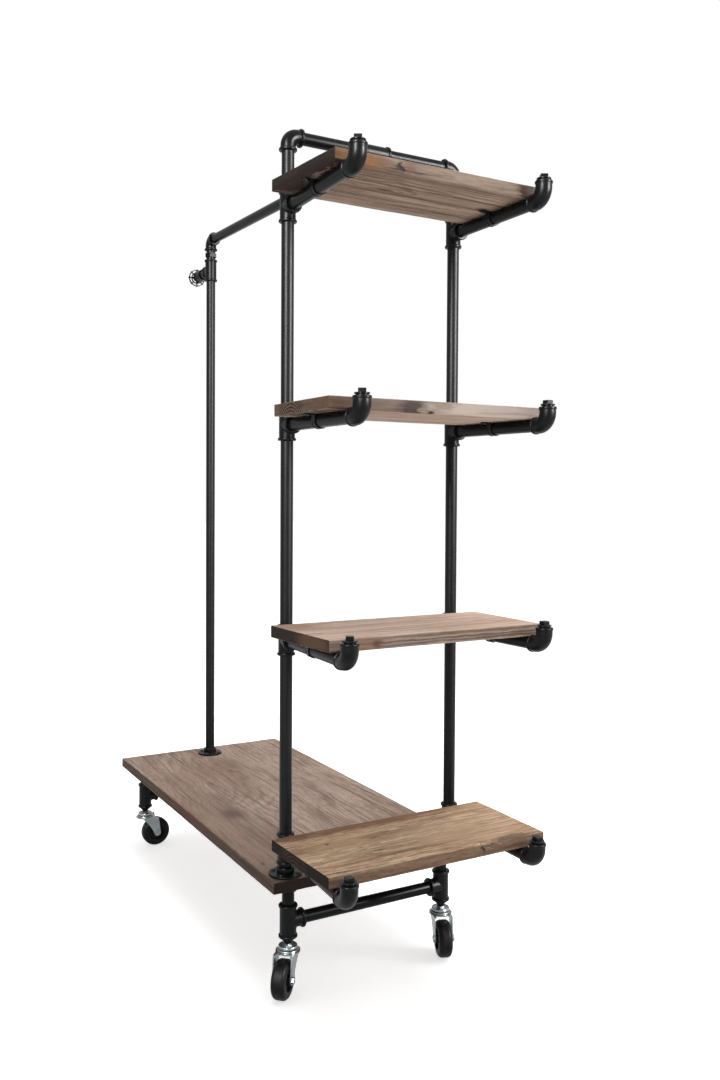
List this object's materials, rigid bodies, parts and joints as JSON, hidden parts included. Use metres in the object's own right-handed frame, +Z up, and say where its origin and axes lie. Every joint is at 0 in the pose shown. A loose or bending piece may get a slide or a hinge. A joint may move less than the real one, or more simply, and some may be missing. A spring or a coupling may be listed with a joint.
{
  "type": "pipe shelving unit",
  "caption": "Rolling rack of screwed black pipe: a shelf tower with plank shelves on pipe arms, a hanging rail over a plank deck, and swivel casters.",
  "frame": {"origin": "on the floor, under the middle of the whole rack's box", "axes": "+Z up, +Y from the shelf tower to the far post, X along the crossbar"},
  "size_m": [0.534, 1.4686, 1.8782],
  "materials": {
    "plank": "stained and weathered, mat",
    "black_pipe": "satin black powder coat",
    "black_fitting": "satin black paint on cast iron",
    "black_valve": "satin black paint",
    "black_screw": "black oxide",
    "zinc": "bright zinc plate on pressed steel",
    "tyre": "mat rubber",
    "wheel_core": "moulded, mat"
  },
  "bodies": {
    "frame": {"base_board": "plank", "bottom_shelf_arms": "black_pipe", "bottom_shelf_board": "plank", "bottom_shelf_elbows": "black_fitting", "bottom_shelf_tees": "black_fitting", "caster_bushings": "black_fitting", "caster_stems": "zinc", "crossbar_pipes": "black_pipe", "elbow_plugs": "black_fitting", "far_post": "black_pipe", "floor_flange_screws": "black_screw", "floor_flanges": "black_fitting", "hanging_rail": "black_pipe", "hex_nipple": "black_fitting", "left_post_pipes": "black_pipe", "leg_flange_screws": "black_screw", "leg_flanges": "black_fitting", "leg_tees": "black_fitting", "lower_shelf_arms": "black_pipe", "lower_shelf_board": "plank", "lower_shelf_elbows": "black_fitting", "lower_shelf_tees": "black_fitting", "rail_end_elbow": "black_fitting", "rail_tee": "black_fitting", "right_post_pipes": "black_pipe", "shelf_straps": "black_fitting", "short_nipples": "black_pipe", "strap_screws": "black_screw", "stretchers": "black_pipe", "top_elbows": "black_fitting", "top_shelf_arms": "black_pipe", "top_shelf_board": "plank", "top_shelf_elbows": "black_fitting", "top_shelf_tees": "black_fitting", "upper_shelf_arms": "black_pipe", "upper_shelf_board": "plank", "upper_shelf_elbows": "black_fitting", "upper_shelf_tees": "black_fitting", "valve_body": "black_valve", "valve_bonnet": "black_valve", "valve_tee": "black_fitting"},
    "near_left_swivel": {"near_left_fork": "zinc", "near_left_axle": "zinc"},
    "near_left_wheel": {"near_left_hub": "wheel_core", "near_left_tyre": "tyre"},
    "near_right_swivel": {"near_right_fork": "zinc", "near_right_axle": "zinc"},
    "near_right_wheel": {"near_right_hub": "wheel_core", "near_right_tyre": "tyre"},
    "far_left_swivel": {"far_left_fork": "zinc", "far_left_axle": "zinc"},
    "far_left_wheel": {"far_left_hub": "wheel_core", "far_left_tyre": "tyre"},
    "far_right_swivel": {"far_right_fork": "zinc", "far_right_axle": "zinc"},
    "far_right_wheel": {"far_right_hub": "wheel_core", "far_right_tyre": "tyre"},
    "handwheel": {"handwheel": "black_valve", "handwheel_nut": "black_valve", "valve_stem": "black_valve"}
  },
  "joints": [
    {"name": "near_left_swivel_turn", "type": "hinge", "parent": "frame", "child": "near_left_swivel", "pos_m": [-0.2, -0.3833, 0.094], "axis": [0, 0, 1], "continuous": true},
    {"name": "near_left_wheel_roll", "type": "hinge", "parent": "near_left_swivel", "child": "near_left_wheel", "pos_m": [-0.22263, -0.40593, 0.0415], "axis": [0.7071, -0.7071, 0], "continuous": true},
    {"name": "near_right_swivel_turn", "type": "hinge", "parent": "frame", "child": "near_right_swivel", "pos_m": [0.2, -0.3833, 0.094], "axis": [0, 0, 1], "continuous": true},
    {"name": "near_right_wheel_roll", "type": "hinge", "parent": "near_right_swivel", "child": "near_right_wheel", "pos_m": [0.18801, -0.41297, 0.0415], "axis": [0.9272, -0.3746, 0], "continuous": true},
    {"name": "far_left_swivel_turn", "type": "hinge", "parent": "frame", "child": "far_left_swivel", "pos_m": [-0.2, 0.6227, 0.094], "axis": [0, 0, 1], "continuous": true},
    {"name": "far_left_wheel_roll", "type": "hinge", "parent": "far_left_swivel", "child": "far_left_wheel", "pos_m": [-0.168, 0.6227, 0.0415], "axis": [0, 1, 0], "continuous": true},
    {"name": "far_right_swivel_turn", "type": "hinge", "parent": "frame", "child": "far_right_swivel", "pos_m": [0.2, 0.6227, 0.094], "axis": [0, 0, 1], "continuous": true},
    {"name": "far_right_wheel_roll", "type": "hinge", "parent": "far_right_swivel", "child": "far_right_wheel", "pos_m": [0.22263, 0.64533, 0.0415], "axis": [-0.7071, 0.7071, 0], "continuous": true},
    {"name": "handwheel_turn", "type": "hinge", "parent": "frame", "child": "handwheel", "pos_m": [0, 0.7187, 1.7664], "axis": [0, 1, 0], "continuous": true}
  ]
}
